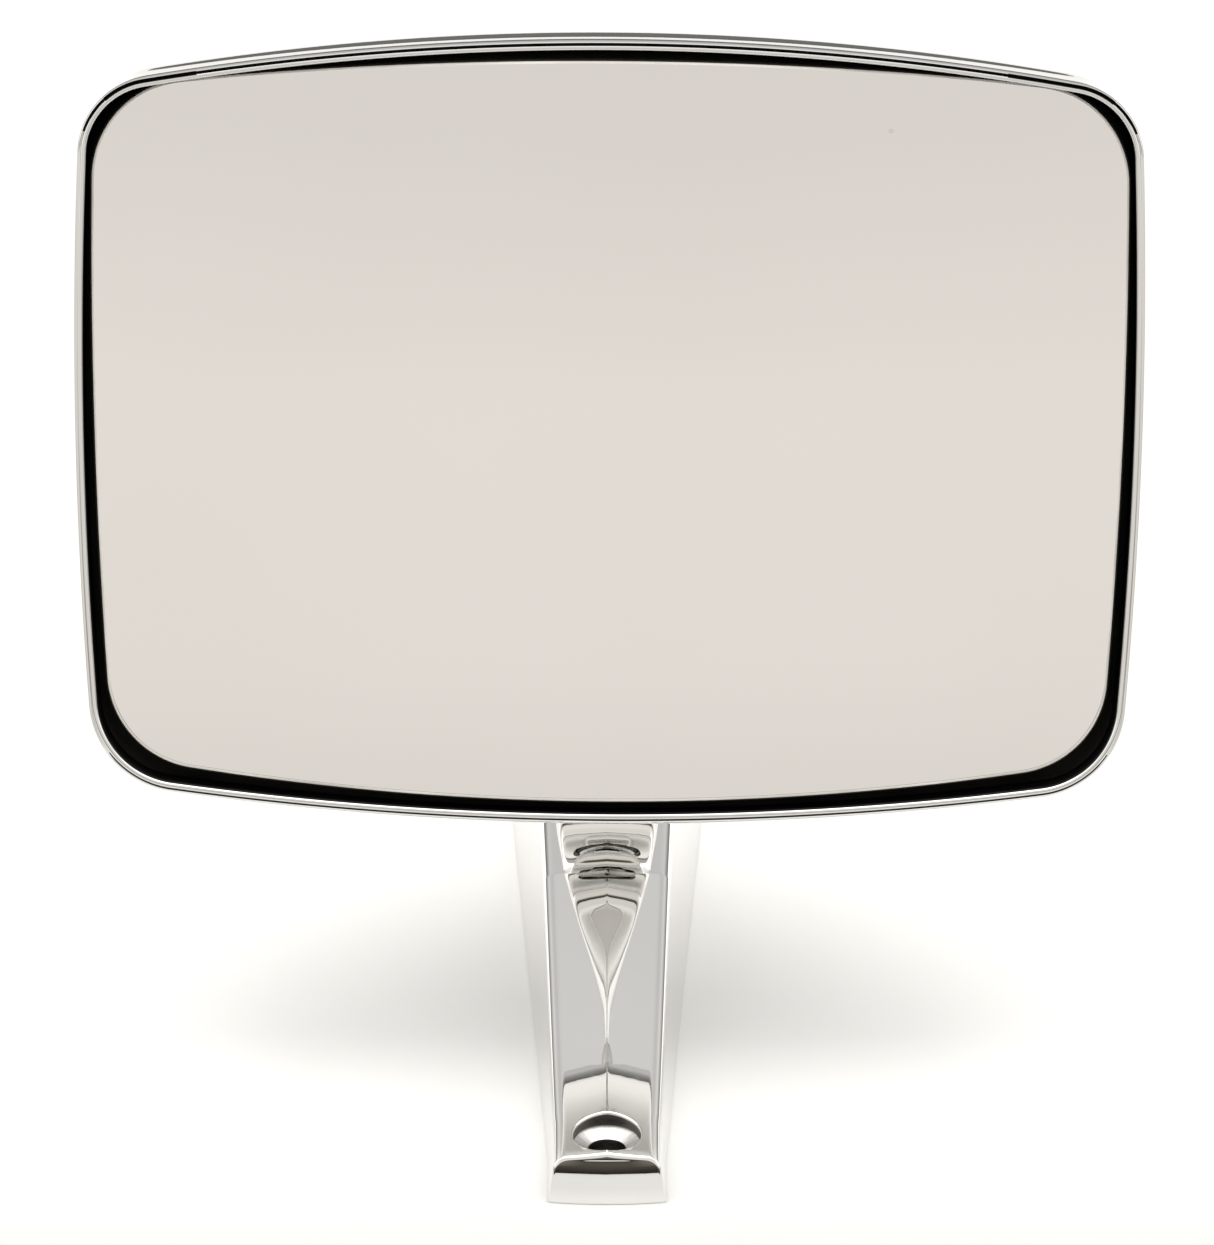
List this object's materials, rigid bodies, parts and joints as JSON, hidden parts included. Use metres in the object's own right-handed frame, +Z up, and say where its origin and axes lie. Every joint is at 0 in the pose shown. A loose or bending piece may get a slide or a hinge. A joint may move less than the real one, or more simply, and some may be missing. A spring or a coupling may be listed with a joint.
{
  "type": "exterior door mirror",
  "caption": "Chromed door mirror with a bowl-shaped head, convex glass and black gasket, carried by a ball pivot on a cast arm with a countersunk screw hole.",
  "frame": {"origin": "on the flat underside of the arm's foot, 14 mm behind its end face, on the arm's centre line", "axes": "+X to the right as seen by someone who looks into the glass, +Y along the arm from the foot to the nose, +Z up, out of the face the arm stands on"},
  "size_m": [0.1343, 0.1219, 0.1297],
  "materials": {
    "arm_chrome": "bright chrome plate on a zinc casting",
    "head_chrome": "bright chrome plate on a pressed steel bowl",
    "mirror_glass": "convex silvered glass with a ground edge",
    "black_rubber": "matt black",
    "foam": "closed-cell foam",
    "plate_steel": "bare stamped sheet",
    "zinc_steel": "zinc plate",
    "ball_steel": "turned and polished",
    "spring_steel": "oiled spring wire",
    "nylon": "natural nylon"
  },
  "bodies": {
    "arm": {"arm_casting": "arm_chrome", "pivot_bolt": "zinc_steel", "bolt_washer": "zinc_steel", "pivot_ball": "ball_steel", "pivot_spring": "spring_steel", "spring_washer": "zinc_steel", "lock_nut": "zinc_steel"},
    "pivot_washer": {"inner_pivot_washer": "zinc_steel"},
    "pivot_liner": {"seat_liner": "nylon"},
    "head": {"head_shell": "head_chrome", "mirror_glass": "mirror_glass", "glass_gasket": "black_rubber", "foam_pad": "foam", "backing_plate": "plate_steel", "plate_screw_left": "zinc_steel", "plate_screw_right": "zinc_steel"}
  },
  "joints": [
    {"name": "head_swivel", "type": "hinge", "parent": "arm", "child": "pivot_washer", "pos_m": [0, 0.04961, 0.04108], "axis": [0, -0.6157, 0.788], "range_deg": [-25, 25]},
    {"name": "head_roll", "type": "hinge", "parent": "pivot_washer", "child": "pivot_liner", "pos_m": [0, 0.04961, 0.04108], "axis": [0, 0.788, 0.6157], "range_deg": [-5, 5]},
    {"name": "head_tilt", "type": "hinge", "parent": "pivot_liner", "child": "head", "pos_m": [0, 0.04961, 0.04108], "axis": [1, 0, 0], "range_deg": [-10, 10]}
  ]
}
